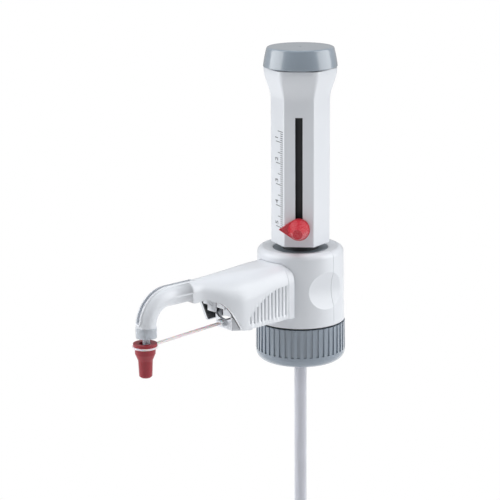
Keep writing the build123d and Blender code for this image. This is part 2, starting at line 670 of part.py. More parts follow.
# ---------------------------------------------------------------- handle
with BuildPart() as handle_sleeve:
    with BuildSketch(Plane.XY.offset(SLEEVE_BOTTOM_Z)):
        RegularPolygon(SLEEVE_APOTHEM, 6, major_radius=False, rotation=SCALE_TURN - 30)
    extrude(amount=SLEEVE_TOP_Z - FLARE_HEIGHT - SLEEVE_BOTTOM_Z)
    fillet(handle_sleeve.edges().filter_by(Axis.Z), SLEEVE_EDGE_ROUND)
    # The six faces run out into a wider, rounder top under the cap
    for index in range(FLARE_SECTIONS):
        share = index / (FLARE_SECTIONS - 1)
        section_z = SLEEVE_TOP_Z - FLARE_HEIGHT * (1 - share)
        apothem = eased(share, (0, 1), (SLEEVE_APOTHEM, FLARE_TOP_APOTHEM))
        corner = eased(share, (0, 1), (SLEEVE_EDGE_ROUND, FLARE_TOP_CORNER))
        with BuildSketch(Plane.XY.offset(section_z)) as section:
            RegularPolygon(apothem, 6, major_radius=False, rotation=SCALE_TURN - 30)
            fillet(section.vertices(), corner)
    loft()
    with BuildSketch(Plane.XY.offset(SLEEVE_BOTTOM_Z)):
        Circle(SLEEVE_BORE_RADIUS)
    extrude(amount=WEB_Z - SLEEVE_BOTTOM_Z, mode=Mode.SUBTRACT)
    with BuildSketch(Plane.XY.offset(WEB_Z + WEB_THICKNESS)):
        Circle(SLEEVE_BORE_RADIUS)
    extrude(amount=SLEEVE_TOP_Z, mode=Mode.SUBTRACT)
    with BuildSketch(Plane.XY.offset(SLEEVE_TOP_Z - CAP_SPIGOT_DEPTH)):
        Circle(CAP_SPIGOT_RADIUS)
    extrude(amount=SLEEVE_TOP_Z, mode=Mode.SUBTRACT)
    with BuildSketch(Plane.XY.offset(WEB_Z)):
        Circle(ROD_RADIUS)
    extrude(amount=WEB_THICKNESS, mode=Mode.SUBTRACT)
    # Slot that the volume pointer slides in
    with BuildSketch(face_plane(0)):
        with Locations((0, SLOT_TOP_Z)):
            Rectangle(SLOT_WIDTH, SLOT_TOP_Z - SLOT_BOTTOM_Z, align=(Align.CENTER, Align.MAX))
    extrude(amount=2 * SLEEVE_APOTHEM, mode=Mode.SUBTRACT)
handle_sleeve.part.label = "handle_sleeve"

with BuildPart() as top_cap:
    with BuildSketch(Plane.XZ):
        with BuildLine():
            under = Line((CAP_SPIGOT_RADIUS, CAP_BOTTOM_Z), (CAP_RADIUS - CAP_FOOT_ROUND, CAP_BOTTOM_Z))
            turn_in = ThreePointArc(
                under @ 1,
                (CAP_RADIUS - 0.3 * CAP_FOOT_ROUND, CAP_BOTTOM_Z + 0.3 * CAP_FOOT_ROUND),
                (CAP_RADIUS, CAP_BOTTOM_Z + CAP_FOOT_ROUND),
            )
            flank = Spline(
                turn_in @ 1,
                (CAP_RADIUS - CAP_FLANK_BULGE, (2 * CAP_BOTTOM_Z + CAP_TOP_Z) / 3),
                (CAP_TOP_RADIUS, CAP_TOP_Z - CAP_RIM_ROUND),
            )
            rim = ThreePointArc(
                flank @ 1,
                (CAP_TOP_RADIUS - 0.3 * CAP_RIM_ROUND, CAP_TOP_Z - 0.3 * CAP_RIM_ROUND),
                (CAP_TOP_RADIUS - CAP_RIM_ROUND, CAP_TOP_Z),
            )
            Polyline(
                rim @ 1,
                (0, CAP_TOP_Z),
                (0, CAP_TOP_Z - CAP_WALL),
                (CAP_SPIGOT_RADIUS - CAP_WALL, CAP_TOP_Z - CAP_WALL),
                (CAP_SPIGOT_RADIUS - CAP_WALL, SLEEVE_TOP_Z - CAP_SPIGOT_DEPTH),
                (CAP_SPIGOT_RADIUS, SLEEVE_TOP_Z - CAP_SPIGOT_DEPTH),
                under @ 0,
            )
        make_face()
    revolve(axis=Axis.Z)
    with Locations((0, 0, CAP_TOP_Z)):
        Hole(DIMPLE_RADIUS, depth=DIMPLE_RADIUS)
top_cap.part.label = "top_cap"

# ---------------------------------------------------------------- volume pointer
PLATE_FOOT = SLEEVE_APOTHEM + FIT_GAP
NUT_FACE = STOP_RADIUS - NUT_GAP
NUT_BACK = GUIDE_RADIUS + NUT_GAP
KNOB_FACE = SLEEVE_APOTHEM + POINTER_REACH + BORE_CLEARANCE
with BuildPart() as volume_pointer:
    # Drop-shaped foot with its point towards the scale, drawn in to a round end
    with BuildSketch(face_plane(PLATE_FOOT)) as drop_foot:
        with Locations((0, POINTER_Z)):
            Circle(POINTER_RADIUS)
        tip_rise = POINTER_RADIUS * POINTER_RADIUS / POINTER_TIP
        tip_half = (POINTER_RADIUS**2 - tip_rise**2) ** 0.5
        Polygon(
            (-POINTER_TIP, POINTER_Z),
            (-tip_rise, POINTER_Z - tip_half),
            (-tip_rise, POINTER_Z + tip_half),
            align=None,
        )
    extrude(amount=POINTER_PLATE)
    with BuildSketch(face_plane(PLATE_FOOT + POINTER_PLATE)):
        with Locations((0, POINTER_Z)):
            Circle(POINTER_RADIUS - KNOB_INSET)
    with BuildSketch(face_plane(SLEEVE_APOTHEM + POINTER_REACH)):
        with Locations((0, POINTER_Z)):
            Circle(POINTER_KNOB_RADIUS)
    loft()
    with BuildSketch(face_plane(PLATE_FOOT)):
        with Locations((0, POINTER_Z)):
            Rectangle(SLOT_WIDTH - 2 * FIT_GAP, SHANK_HEIGHT)
    extrude(amount=-(PLATE_FOOT - NUT_FACE))
    with BuildSketch(face_plane(0)):
        with Locations((0, POINTER_Z)):
            Circle(SCREW_RADIUS + BORE_CLEARANCE)
    extrude(amount=2 * PLATE_FOOT, mode=Mode.SUBTRACT)
volume_pointer.part.label = "volume_pointer"

with BuildPart() as clamp_nut:
    with BuildSketch(face_plane(NUT_BACK)):
        with Locations((0, POINTER_Z)):
            Rectangle(CLAMP_NUT_WIDTH, SHANK_HEIGHT)
            Circle(SCREW_RADIUS + BORE_CLEARANCE, mode=Mode.SUBTRACT)
    extrude(amount=NUT_FACE - NUT_BACK)
clamp_nut.part.label = "clamp_nut"

with BuildPart() as clamp_screw:
    with BuildSketch(face_plane(NUT_BACK)):
        with Locations((0, POINTER_Z)):
            Circle(SCREW_RADIUS)
    extrude(amount=KNOB_FACE - NUT_BACK)
clamp_screw.part.label = "clamp_screw"

with BuildPart() as thumb_screw:
    with BuildSketch(face_plane(KNOB_FACE)):
        with Locations((0, POINTER_Z)):
            Circle(POINTER_KNOB_RADIUS)
    extrude(amount=KNOB_LENGTH)
thumb_screw.part.label = "thumb_screw"

# ---------------------------------------------------------------- filling side
BALL_SEAT_RISE = (INLET_BALL_RADIUS**2 - FEED_RADIUS**2) ** 0.5 + BALL_GAP
with BuildPart() as filling_valve_body:
    with BuildSketch(Plane.XY.offset(VALVE_BODY_BOTTOM_Z)):
        RegularPolygon(VALVE_HEX_RADIUS, 6)
    extrude(amount=FLANGE_BOTTOM_Z - VALVE_BODY_BOTTOM_Z)
    with BuildSketch(Plane.XY.offset(FLANGE_BOTTOM_Z)):
        Circle(VALVE_BODY_RADIUS)
    extrude(amount=VALVE_BODY_TOP_Z - FLANGE_BOTTOM_Z)
    with BuildSketch(Plane.XY.offset(VALVE_BODY_BOTTOM_Z)):
        Circle(SEAT_PLUG_RADIUS)
    extrude(amount=SEAT_Z - VALVE_BODY_BOTTOM_Z, mode=Mode.SUBTRACT)
    with BuildSketch(Plane.XY.offset(SEAT_Z)):
        Circle(INLET_BALL_RADIUS + BALL_ROOM)
    extrude(amount=2 * INLET_BALL_RADIUS + 2 * INLET_BALL_LIFT, mode=Mode.SUBTRACT)
    with BuildSketch(Plane.XY.offset(SEAT_Z)):
        Circle(FEED_RADIUS)
    extrude(amount=VALVE_BODY_TOP_Z, mode=Mode.SUBTRACT)
filling_valve_body.part.label = "filling_valve_body"

with BuildPart() as filling_nipple:
    with BuildSketch(Plane.XY.offset(NIPPLE_BOTTOM_Z)):
        Circle(NIPPLE_RADIUS)
    extrude(amount=VALVE_BODY_BOTTOM_Z - NIPPLE_BOTTOM_Z)
    with BuildSketch(Plane.XY.offset(FILL_TUBE_TOP_Z)):
        Circle(SEAT_PLUG_RADIUS)
    extrude(amount=SEAT_Z - FILL_TUBE_TOP_Z)
    with BuildSketch(Plane.XY.offset(NIPPLE_BOTTOM_Z)):
        Circle(FEED_RADIUS)
    extrude(amount=SEAT_Z - NIPPLE_BOTTOM_Z, mode=Mode.SUBTRACT)
filling_nipple.part.label = "filling_nipple"

with BuildPart() as inlet_ball:
    with Locations((0, 0, SEAT_Z + BALL_SEAT_RISE)):
        Sphere(INLET_BALL_RADIUS)
inlet_ball.part.label = "inlet_ball"

with BuildPart() as filling_tube:
    with BuildSketch(Plane.XY.offset(FILL_TUBE_TOP_Z)):
        Circle(FILL_TUBE_RADIUS)
        Circle(NIPPLE_RADIUS, mode=Mode.SUBTRACT)
    extrude(amount=-FILL_TUBE_LENGTH)
filling_tube.part.label = "filling_tube"

LOWER_TUBE_RADIUS = NIPPLE_RADIUS - LOWER_TUBE_CLEARANCE
with BuildPart() as lower_filling_tube:
    with BuildSketch(Plane.XY.offset(LOWER_TUBE_TOP_Z)):
        Circle(LOWER_TUBE_RADIUS)
        Circle(LOWER_TUBE_RADIUS - LOWER_TUBE_WALL, mode=Mode.SUBTRACT)
    extrude(amount=-LOWER_TUBE_LENGTH)
    # The foot is cut on the slant, so that it can't seal against the bottle's floor
    foot_z = LOWER_TUBE_TOP_Z - LOWER_TUBE_LENGTH
    slant = Plane(origin=(LOWER_TUBE_RADIUS, 0, foot_z), x_dir=(0, 1, 0), z_dir=(-1, 0, 1))
    split(bisect_by=slant, keep=Keep.TOP)
lower_filling_tube.part.label = "lower_filling_tube"

# ---------------------------------------------------------------- discharge side
with BuildPart() as discharge_valve_body:
    with BuildSketch(side_plane(OUTLET_VALVE_START_X, DISCHARGE_Z)):
        Circle(OUTLET_VALVE_RADIUS)
    extrude(amount=OUTLET_VALVE_START_X - OUTLET_VALVE_END_X)
    with BuildSketch(side_plane(-BOSS_REACH, DISCHARGE_Z)):
        Circle(OUTLET_COLLAR_RADIUS)
    extrude(amount=-PLATE_BACK_X - BOSS_REACH)
    with BuildSketch(side_plane(OUTLET_VALVE_START_X, DISCHARGE_Z)):
        Circle(FEED_RADIUS)
    extrude(amount=OUTLET_VALVE_START_X - OUTLET_SEAT_X, mode=Mode.SUBTRACT)
    with BuildSketch(side_plane(OUTLET_SEAT_X, DISCHARGE_Z)):
        Circle(OUTLET_BALL_RADIUS + BALL_ROOM)
    extrude(amount=OUTLET_SEAT_X - TUBE_START_X, mode=Mode.SUBTRACT)
    with BuildSketch(side_plane(TUBE_START_X, DISCHARGE_Z)):
        Circle(TUBE_RADIUS)
    extrude(amount=TUBE_START_X - OUTLET_VALVE_END_X, mode=Mode.SUBTRACT)
discharge_valve_body.part.label = "discharge_valve_body"

OUTLET_BALL_X = OUTLET_SEAT_X - (OUTLET_BALL_RADIUS**2 - FEED_RADIUS**2) ** 0.5 - BALL_GAP
with BuildPart() as outlet_ball:
    with Locations((OUTLET_BALL_X, 0, DISCHARGE_Z)):
        Sphere(OUTLET_BALL_RADIUS)
outlet_ball.part.label = "outlet_ball"

# The valve's spring, drawn as its turns joined by a back wire
SPRING_START_X = OUTLET_BALL_X - OUTLET_BALL_RADIUS - BALL_GAP
SPRING_RADIUS = OUTLET_BALL_RADIUS - SPRING_WIRE
with BuildPart() as outlet_spring:
    spring_length = SPRING_START_X - TUBE_START_X
    for turn in range(SPRING_TURNS):
        offset_x = (spring_length - SPRING_WIRE) * turn / (SPRING_TURNS - 1)
        with BuildSketch(side_plane(SPRING_START_X - offset_x, DISCHARGE_Z)):
            Circle(SPRING_RADIUS)
            Circle(SPRING_RADIUS - 2 * SPRING_WIRE, mode=Mode.SUBTRACT)
        extrude(amount=SPRING_WIRE)
    with BuildSketch(side_plane(SPRING_START_X, DISCHARGE_Z)):
        with Locations((0, SPRING_RADIUS - SPRING_WIRE)):
            Rectangle(2 * SPRING_WIRE, 2 * SPRING_WIRE)
    extrude(amount=spring_length)
outlet_spring.part.label = "outlet_spring"

with BuildPart() as discharge_tube:
    with BuildLine(Plane.XZ):
        tube_path = FilletPolyline(
            (TUBE_START_X, DISCHARGE_Z),
            (TUBE_RISE_START_X, DISCHARGE_Z),
            (TUBE_RISE_END_X, SPOUT_Z),
            (NOZZLE_X, SPOUT_Z),
            (NOZZLE_X, TUBE_TIP_Z),
            radius=(TUBE_SOFT_BEND, TUBE_SOFT_BEND, SPOUT_BEND),
        )
    with BuildSketch(side_plane(TUBE_START_X, DISCHARGE_Z)):
        Circle(TUBE_RADIUS)
        Circle(TUBE_BORE, mode=Mode.SUBTRACT)
    sweep(path=tube_path)
discharge_tube.part.label = "discharge_tube"

# ---------------------------------------------------------------- arm
with BuildPart() as arm_plate:
    with BuildSketch(side_plane(PLATE_BACK_X)) as plate_face:
        Polygon(*plate_corners(0), align=None)
        fillet(plate_face.vertices().group_by(Axis.Y)[-1], PLATE_CORNER)
        with Locations((0, DISCHARGE_Z)):
            Circle(OUTLET_VALVE_RADIUS, mode=Mode.SUBTRACT)
    extrude(amount=PLATE_THICKNESS)
arm_plate.part.label = "arm_plate"

with BuildPart() as mouth_cutter:
    with BuildSketch(Plane.XZ):
        with BuildLine():
            mouth = Spline(*MOUTH_CURVE)
            Polyline(mouth @ 1, (MOUTH_CURVE[-1][0], 0), (MOUTH_CURVE[0][0], 0), mouth @ 0)
        make_face()
    extrude(amount=2 * PLATE_HALF_WIDTH, both=True)

# Raised rim round the slot that the discharge tube is clipped in by
with BuildPart() as slot_rim:
    with BuildLine(Plane.XZ):
        rim_path = FilletPolyline(
            (TOP_SLOT_START_X + TOP_RIM_WIDTH, SPOUT_Z),
            (NOZZLE_X, SPOUT_Z),
            (NOZZLE_X, SPOUT_END_Z),
            radius=SPOUT_BEND,
        )
    with BuildSketch(side_plane(TOP_SLOT_START_X + TOP_RIM_WIDTH, SPOUT_Z)):
        Circle(SPOUT_RADIUS + TOP_RIM_HEIGHT)
    sweep(path=rim_path)
    add(slot_region(TOP_RIM_WIDTH), mode=Mode.INTERSECT)

with BuildPart() as spout_housing:
    add(arm_body(SPOUT_START_X))
    add(arm_body(HOLLOW_END_X, ARM_WALL), mode=Mode.SUBTRACT)
    # The spout: the arm's round end carried on and bent down over the nozzle
    with BuildLine(Plane.XZ):
        spout_path = FilletPolyline(
            (SPOUT_START_X, SPOUT_Z),
            (NOZZLE_X, SPOUT_Z),
            (NOZZLE_X, SPOUT_END_Z),
            radius=SPOUT_BEND,
        )
    with BuildSketch(side_plane(SPOUT_START_X, SPOUT_Z)):
        Circle(SPOUT_RADIUS)
    sweep(path=spout_path)
    add(slot_rim.part)
    # The open mouth under the arm, swept up from its two cheeks to the spout
    add(mouth_cutter.part, mode=Mode.SUBTRACT)
    add(web_boxes())
    # Channel for the discharge tube, and its slot
    with BuildLine(Plane.XZ):
        channel_path = FilletPolyline(
            (HOLLOW_END_X + 1, SPOUT_Z),
            (NOZZLE_X, SPOUT_Z),
            (NOZZLE_X, SPOUT_END_Z - 1),
            radius=SPOUT_BEND,
        )
    with BuildSketch(side_plane(HOLLOW_END_X + 1, SPOUT_Z)):
        Circle(CHANNEL_RADIUS)
    sweep(path=channel_path, mode=Mode.SUBTRACT)
    add(slot_region(0), mode=Mode.SUBTRACT)
    # Grip slots down both cheeks, under a curve that falls away from the plate
    for side in (1, -1):
        with BuildSketch(Plane.XZ.offset(side * (FLANK_HALF_WIDTH - GRILLE_DEPTH))):
            for index in range(GRILLE_COUNT):
                slot_x = GRILLE_FIRST_X - index * GRILLE_PITCH
                slot_top = GRILLE_TOP_Z - GRILLE_FALL * (slot_x - GRILLE_FIRST_X) ** 2
                with Locations((slot_x, GRILLE_BOTTOM_Z)):
                    Rectangle(GRILLE_WIDTH, slot_top - GRILLE_BOTTOM_Z, align=(Align.CENTER, Align.MIN))
        extrude(amount=side * 5 * GRILLE_DEPTH, mode=Mode.SUBTRACT)
spout_housing.part.label = "spout_housing"

with BuildPart() as arm_liner:
    liner_inset = ARM_WALL + FIT_GAP
    add(arm_body(LINER_END_X, liner_inset))
    add(arm_body(LINER_END_X, liner_inset + LINER_WALL), mode=Mode.SUBTRACT)
    add(mouth_cutter.part, mode=Mode.SUBTRACT)
    add(web_boxes(FIT_GAP), mode=Mode.SUBTRACT)
    split(bisect_by=Plane.XY.offset(FLANK_FOOT_Z + LINER_WALL), keep=Keep.TOP)
arm_liner.part.label = "arm_liner"

with BuildPart() as nozzle_collar:
    with BuildSketch(nozzle_plane(COLLAR_BOTTOM_Z)):
        Circle(COLLAR_RADIUS)
    extrude(amount=SPOUT_END_Z - COLLAR_BOTTOM_Z)
    with BuildSketch(nozzle_plane(COLLAR_BOTTOM_Z + COLLAR_WALL)):
        Circle(COLLAR_RADIUS - COLLAR_WALL)
    extrude(amount=SPOUT_END_Z, mode=Mode.SUBTRACT)
    with BuildSketch(nozzle_plane(COLLAR_BOTTOM_Z)):
        Circle(TUBE_RADIUS)
    extrude(amount=COLLAR_WALL, mode=Mode.SUBTRACT)
nozzle_collar.part.label = "nozzle_collar"

# ---------------------------------------------------------------- closure and its holder
CLOSURE_FOOT_Z = CLOSURE_TOP_Z - CLOSURE_LENGTH
with BuildPart() as closure_cap:
    with BuildSketch(Plane(origin=(CLOSURE_X, 0, 0), x_dir=(1, 0, 0), z_dir=(0, -1, 0))):
        Polygon(
            (0, CLOSURE_FOOT_Z),
            (CLOSURE_FOOT_RADIUS - CLOSURE_FOOT_ROUND, CLOSURE_FOOT_Z),
            (CLOSURE_FOOT_RADIUS, CLOSURE_FOOT_Z + CLOSURE_FOOT_ROUND),
            (CLOSURE_WAIST_RADIUS, CLOSURE_TOP_Z - CLOSURE_SHOULDER_FOOT),
            (CLOSURE_NECK_RADIUS - CLOSURE_NECK_TAPER, CLOSURE_TOP_Z - CLOSURE_SHOULDER_TOP),
            (CLOSURE_NECK_RADIUS, CLOSURE_TOP_Z - CLOSURE_FLANGE_HEIGHT),
            (CLOSURE_FLANGE_RADIUS, CLOSURE_TOP_Z - CLOSURE_FLANGE_HEIGHT),
            (CLOSURE_FLANGE_RADIUS, CLOSURE_TOP_Z),
            (0, CLOSURE_TOP_Z),
            align=None,
        )
    revolve(axis=Axis((CLOSURE_X, 0, 0), (0, 0, 1)))
    with Locations((CLOSURE_X, 0, CLOSURE_TOP_Z)):
        Hole(CLOSURE_BORE_RADIUS, depth=CLOSURE_BORE_DEPTH)
closure_cap.part.label = "closure_cap"

STRAP_TOP_Z = CLOSURE_TOP_Z - CLOSURE_FLANGE_HEIGHT
with BuildPart() as closure_strap:
    with BuildSketch(closure_plane(STRAP_TOP_Z)):
        Circle(CLOSURE_NECK_RADIUS + STRAP_RING_WALL)
        Circle(CLOSURE_NECK_RADIUS, mode=Mode.SUBTRACT)
    extrude(amount=-STRAP_THICKNESS)
    ring_edge_x = CLOSURE_X + CLOSURE_NECK_RADIUS + STRAP_RING_WALL / 2
    with BuildSketch(Plane.XZ):
        Polygon(
            (ring_edge_x, STRAP_TOP_Z - STRAP_THICKNESS),
            (PIVOT_X, PIVOT_Z - STRAP_THICKNESS / 2),
            (PIVOT_X, PIVOT_Z + STRAP_THICKNESS / 2),
            (ring_edge_x, STRAP_TOP_Z),
            align=None,
        )
        with Locations((PIVOT_X, PIVOT_Z)):
            Circle(EYE_RADIUS)
            Circle(PIN_RADIUS + BORE_CLEARANCE, mode=Mode.SUBTRACT)
    extrude(amount=STRAP_WIDTH / 2, both=True)
closure_strap.part.label = "closure_strap"

with BuildPart() as strap_bracket:
    # A bent wall across the arm, with a saddle over its middle
    back_x = BRACKET_X + BRACKET_THICKNESS
    with BuildSketch(Plane.XY.offset(BRACKET_BOTTOM_Z)):
        Polygon(
            (BRACKET_X, -BRACKET_HALF_WIDTH),
            (BRACKET_WING_X, -BRACKET_WING_REACH),
            (BRACKET_WING_X + BRACKET_THICKNESS, -BRACKET_WING_REACH),
            (back_x, -BRACKET_HALF_WIDTH),
            (back_x, BRACKET_HALF_WIDTH),
            (BRACKET_WING_X + BRACKET_THICKNESS, BRACKET_WING_REACH),
            (BRACKET_WING_X, BRACKET_WING_REACH),
            (BRACKET_X, BRACKET_HALF_WIDTH),
            align=None,
        )
    extrude(amount=BRACKET_HORN_Z - BRACKET_BOTTOM_Z)
    saddle_depth = BRACKET_HORN_Z - BRACKET_DIP_Z
    saddle_radius = (BRACKET_HALF_WIDTH**2 + saddle_depth**2) / (2 * saddle_depth)
    with BuildSketch(side_plane(back_x, BRACKET_DIP_Z + saddle_radius)):
        Circle(saddle_radius)
    extrude(amount=BRACKET_THICKNESS, mode=Mode.SUBTRACT)
    # Rail back to the arm's plate
    with BuildSketch(side_plane(PLATE_FRONT_X)):
        with Locations((0, PLATE_BOTTOM_Z)):
            Rectangle(2 * RAIL_HALF_WIDTH, RAIL_HEIGHT, align=(Align.CENTER, Align.MIN))
    extrude(amount=PLATE_FRONT_X - BRACKET_X)
    # Two ears for the strap's pin
    with BuildSketch(Plane.XZ):
        with Locations((PIVOT_X, PIVOT_Z)):
            Circle(EYE_RADIUS)
            Rectangle(BRACKET_X - PIVOT_X, 2 * EYE_RADIUS, align=(Align.MIN, Align.CENTER))
    extrude(amount=STRAP_WIDTH / 2 + FIT_GAP + EAR_THICKNESS, both=True)
    with BuildSketch(Plane.XZ):
        with Locations((PIVOT_X, PIVOT_Z)):
            Rectangle(2 * (BRACKET_X - PIVOT_X), 4 * EYE_RADIUS)
    extrude(amount=STRAP_WIDTH / 2 + FIT_GAP, both=True, mode=Mode.SUBTRACT)
    with BuildSketch(Plane.XZ):
        with Locations((PIVOT_X, PIVOT_Z)):
            Circle(PIN_RADIUS)
    extrude(amount=2 * STRAP_WIDTH, both=True, mode=Mode.SUBTRACT)
strap_bracket.part.label = "strap_bracket"

with BuildPart() as strap_pin:
    with BuildSketch(Plane.XZ):
        with Locations((PIVOT_X, PIVOT_Z)):
            Circle(PIN_RADIUS)
    extrude(amount=STRAP_WIDTH / 2 + FIT_GAP + EAR_THICKNESS, both=True)
strap_pin.part.label = "strap_pin"

for piece in (
    screw_ring, valve_block, neck_seal, vent_cap, front_housing, rear_cover, cylinder_nut, cylinder_seal,
    glass_cylinder, guide_tube, stop_collar, rod_bush, piston, piston_seal, piston_rod, rod_nut, handle_sleeve,
    top_cap, volume_pointer, clamp_nut, clamp_screw, thumb_screw, filling_valve_body, filling_nipple, inlet_ball,
    filling_tube,
    lower_filling_tube, discharge_valve_body, outlet_ball, outlet_spring, discharge_tube, arm_plate, spout_housing,
    arm_liner, nozzle_collar, closure_cap, closure_strap, strap_bracket, strap_pin,
):
    export_step(piece.part, f"parts/{piece.part.label}.step")
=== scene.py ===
import json
import math

import bmesh
import bpy
from mathutils import Matrix, Quaternion, Vector


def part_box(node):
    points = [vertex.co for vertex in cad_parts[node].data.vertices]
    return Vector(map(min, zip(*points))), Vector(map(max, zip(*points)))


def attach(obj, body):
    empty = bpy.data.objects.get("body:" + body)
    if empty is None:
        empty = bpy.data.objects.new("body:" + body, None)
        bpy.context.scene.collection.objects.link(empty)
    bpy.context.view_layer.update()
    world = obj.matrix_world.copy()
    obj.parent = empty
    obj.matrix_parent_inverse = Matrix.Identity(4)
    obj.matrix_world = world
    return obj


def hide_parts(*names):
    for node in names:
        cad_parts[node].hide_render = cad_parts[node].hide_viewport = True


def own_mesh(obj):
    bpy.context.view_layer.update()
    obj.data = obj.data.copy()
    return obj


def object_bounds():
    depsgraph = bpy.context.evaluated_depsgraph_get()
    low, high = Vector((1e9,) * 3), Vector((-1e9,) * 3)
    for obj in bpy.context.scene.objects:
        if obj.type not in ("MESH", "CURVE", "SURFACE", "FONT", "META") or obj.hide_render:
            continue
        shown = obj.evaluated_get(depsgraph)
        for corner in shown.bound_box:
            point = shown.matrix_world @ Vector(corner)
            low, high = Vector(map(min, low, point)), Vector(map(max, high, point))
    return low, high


bl_info = {
    "name": "Bottle Top Dispenser",
    "version": (1, 0, 0),
    "blender": (4, 5, 0),
    "location": "3D View > Sidebar > Dispenser",
    "description": "Dresses the solids of a bottle top dispenser with its finishes, scale and threads",
    "category": "Object",
}

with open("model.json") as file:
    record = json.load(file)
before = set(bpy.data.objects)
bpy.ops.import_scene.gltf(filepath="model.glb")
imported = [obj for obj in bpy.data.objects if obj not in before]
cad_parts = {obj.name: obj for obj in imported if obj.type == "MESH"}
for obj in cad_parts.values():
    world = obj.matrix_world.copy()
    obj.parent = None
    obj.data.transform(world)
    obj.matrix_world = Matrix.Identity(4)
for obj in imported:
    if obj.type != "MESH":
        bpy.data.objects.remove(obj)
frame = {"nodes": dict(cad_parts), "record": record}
CAD_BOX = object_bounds()

MM = 0.001
FULL_TURN = 2 * math.pi

# Where the handle's faces stand: a six-sided sleeve with its slot turned 43 degrees from the arm
SLOT_FACE_ANGLE = math.radians(223)
SCALE_FACE_ANGLE = SLOT_FACE_ANGLE - math.radians(60)
SLEEVE_FACE = 16.3 * MM
POINTER_HEIGHT = 88.3 * MM
# Height of the arm's flat top, in millimetres
ARM_TOP = 67.8
JOINTS = {joint["name"]: joint for joint in frame["record"]["behaviour"]["joints"]}
POINTER_TRAVEL = JOINTS["pointer_slide"]["range_m"][1]

# The scale: its first and last line in tenths of a millilitre
FIRST_TENTH = 5
LAST_TENTH = 50
# How far a digit stands above its line, and how much of the font's size it is tall
DIGIT_LIFT = 1.0 * MM
DIGIT_SHARE = 0.7

NECK_TURNS = 2.5
NECK_START_Z = 3.0 * MM
# Half the width of the neck thread's ridge, at its root and at its crest
NECK_ROOT_HALF = 1.3 * MM
NECK_CREST_HALF = 0.4 * MM

SPRING_TURNS = 3.5
SPRING_STEPS = 24

# Each web under the arm's roof, in millimetres: its place, and the flat and radius of the arch over it
WEB_ARCHES = ((-69.0, 0.56, 16.0), (-73.4, 0.3, 14.4))
# Half a web's thickness, the band across the arm that its top stands in, and how deep the top reaches
WEB_HALF = 0.61
WEB_INNER = 5.3
WEB_OUTER = 11.1
WEB_SINK = 0.6

# Corners closer than this are one, and edges sharper than this stay sharp
WELD_GAP = 0.002 * MM
SHARP_EDGE = math.radians(28)

# What the lamps aim at, and the floor's reach and its gap below the part, in metres
STAGE_MIDDLE = (-0.02, 0, 0.09)
FLOOR_REACH = 3.0
FLOOR_GAP = 0.0005
# Strength of the surround that lights the part, and of the one that it mirrors
ROOM_LIGHT = 0.04
MIRRORED_LIGHT = 0.45

# Camera, in metres and degrees
CAMERA_PLACE = (-0.7577, -0.7926, 0.3483)
CAMERA_LOOK = (0.6487, 0.7204, -0.2453)
CAMERA_ROLL = -0.45
CAMERA_LENS = 126.8
CAMERA_SHIFT = 0.001

# Each lamp: name, turn round the part in degrees, reach, rise and size in metres, and power in watts
LAMPS = (
    ("lamp_left", 141, 1.0, 0.32, (1.0, 1.2), 11.0),
    ("lamp_right", 312, 1.0, 0.32, (1.0, 1.2), 9.8),
    ("lamp_top", 270, 0.1, 1.0, (0.6, 0.6), 8.0),
)


# ---------------------------------------------------------------- colours
def colour(code, alpha=1.0):
    """Turns an sRGB hex colour to the linear one that shaders take."""
    channels = [int(code[i:i + 2], 16) / 255 for i in (1, 3, 5)]
    linear = [c / 12.92 if c <= 0.04045 else ((c + 0.055) / 1.055) ** 2.4 for c in channels]
    return (*linear, alpha)


def swatch(label, code, words):
    return bpy.props.FloatVectorProperty(
        name=label, description=words, subtype="COLOR", size=4, min=0, max=1, default=colour(code)
    )


def length(label, millimetres, words):
    return bpy.props.FloatProperty(
        name=label, description=words, subtype="DISTANCE", unit="LENGTH", default=millimetres * MM, min=0
    )


# ---------------------------------------------------------------- settings
class DispenserSizes(bpy.types.PropertyGroup):
    tick_line: length("Tick line", 0.44, "Height of a printed scale line")
    tick_right: length("Tick edge", 8.0, "Where the scale lines end, right of the face's middle")
    tick_short: length("Short tick", 3.5, "Length of a tenth millilitre line")
    tick_middle: length("Middle tick", 7.0, "Length of a half millilitre line")
    tick_long: length("Long tick", 9.8, "Length of a whole millilitre line")
    digit_height: length("Digit height", 3.9, "Height of the scale's digits")
    digit_base: length("Digit base", 1.05, "Where the digits stand, right of the face's middle")
    ink_height: length("Ink", 0.04, "How far the printing stands off the plastic")
    neck_pitch: length("Neck pitch", 4.0, "Pitch of the neck thread in the screw ring")
    neck_crest: length("Neck crest", 21.5, "Radius of the neck thread's crest")
    neck_root: length("Neck root", 22.8, "Radius of the neck thread's root, at the ring's bore")
    spring_wire: length("Spring wire", 0.21, "Radius of the outlet spring's wire")


class DispenserColours(bpy.types.PropertyGroup):
    housing: swatch("Housing", "#DCE0E6", "Pale grey of the housing, arm and handle")
    ring: swatch("Ring", "#7F8C9A", "Blue grey of the screw ring")
    cap: swatch("Cap", "#87939F", "Blue grey of the handle's cap")
    # This near black also dresses the arm_liner, where it is painted shade inside the arm.
    dark: swatch("Dark parts", "#2A2C2F", "Near black of the guide tube and valve block")
    collar: swatch("Collar", "#8A939C", "Dark grey of the nut under the handle")
    pointer: swatch("Pointer", "#C0313D", "Red of the volume pointer")
    closure: swatch("Closure", "#95222F", "Deep red of the tip's closure")
    ink: swatch("Ink", "#2A2E35", "Grey black of the printed scale")
    seal: swatch("Seals", "#26282A", "Black of the seals")
    tube: swatch("Tubes", "#E4E6EE", "Milky white of the fluoropolymer tubes")
    strap: swatch("Strap", "#E6E0E4", "Pinkish white of the closure's strap")
    floor: swatch("Floor", "#FFFFFF", "White of the floor and backdrop")


